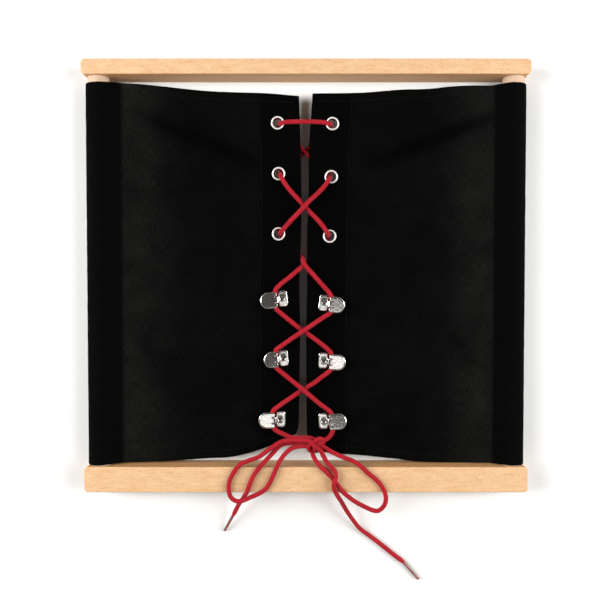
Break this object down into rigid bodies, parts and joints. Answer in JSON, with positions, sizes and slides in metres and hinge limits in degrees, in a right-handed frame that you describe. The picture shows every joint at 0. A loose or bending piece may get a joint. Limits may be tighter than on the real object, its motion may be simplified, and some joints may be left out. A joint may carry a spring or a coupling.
{
  "type": "lacing busy board",
  "caption": "Beech frame whose side dowels hold facing cotton flaps in sleeves, drawn together by a round lace through eyelets and lacing hooks and tied in a bow.",
  "frame": {"origin": "below the middle of the wooden frame, on the surface that it lies on", "axes": "+X along the rails to the right, +Y up the frame towards its top rail, +Z out of its laced front"},
  "size_m": [0.31, 0.3707, 0.0267],
  "materials": {
    "beech": "satin lacquered beech",
    "dowel_beech": "sanded beech",
    "black_cotton": "plain woven cotton",
    "nickel": "nickel plated, polished",
    "red_lace": "round braid",
    "aglet_film": "clear film over red braid"
  },
  "bodies": {
    "frame": {"top_rail": "beech", "bottom_rail": "beech", "left_dowel": "dowel_beech", "right_dowel": "dowel_beech"},
    "left_flap": {"left_flap_cloth": "black_cotton", "left_eyelet_1": "nickel", "left_eyelet_washer_1": "nickel", "left_hook_1": "nickel", "left_hook_washer_1": "nickel", "left_eyelet_2": "nickel", "left_eyelet_washer_2": "nickel", "left_hook_2": "nickel", "left_hook_washer_2": "nickel", "left_eyelet_3": "nickel", "left_eyelet_washer_3": "nickel", "left_hook_3": "nickel", "left_hook_washer_3": "nickel", "lace": "red_lace", "left_bow_loop": "red_lace", "left_lace_end": "red_lace", "left_aglet": "aglet_film"},
    "right_flap": {"right_flap_cloth": "black_cotton", "right_eyelet_1": "nickel", "right_eyelet_washer_1": "nickel", "right_hook_1": "nickel", "right_hook_washer_1": "nickel", "right_eyelet_2": "nickel", "right_eyelet_washer_2": "nickel", "right_hook_2": "nickel", "right_hook_washer_2": "nickel", "right_eyelet_3": "nickel", "right_eyelet_washer_3": "nickel", "right_hook_3": "nickel", "right_hook_washer_3": "nickel", "bow_knot": "red_lace", "right_bow_loop": "red_lace", "right_lace_end": "red_lace", "right_aglet": "aglet_film"}
  },
  "joints": [
    {"name": "left_flap_hinge", "type": "hinge", "parent": "frame", "child": "left_flap", "pos_m": [-0.1455, 0, 0.01], "axis": [0, -1, 0], "range_deg": [0, 6], "deforming": ["lace"]},
    {"name": "right_flap_hinge", "type": "hinge", "parent": "frame", "child": "right_flap", "pos_m": [0.1455, 0, 0.01], "axis": [0, 1, 0], "range_deg": [0, 6]}
  ],
  "couplings": [
    {"joint": "right_flap_hinge", "follows": "left_flap_hinge", "ratio": 1}
  ]
}
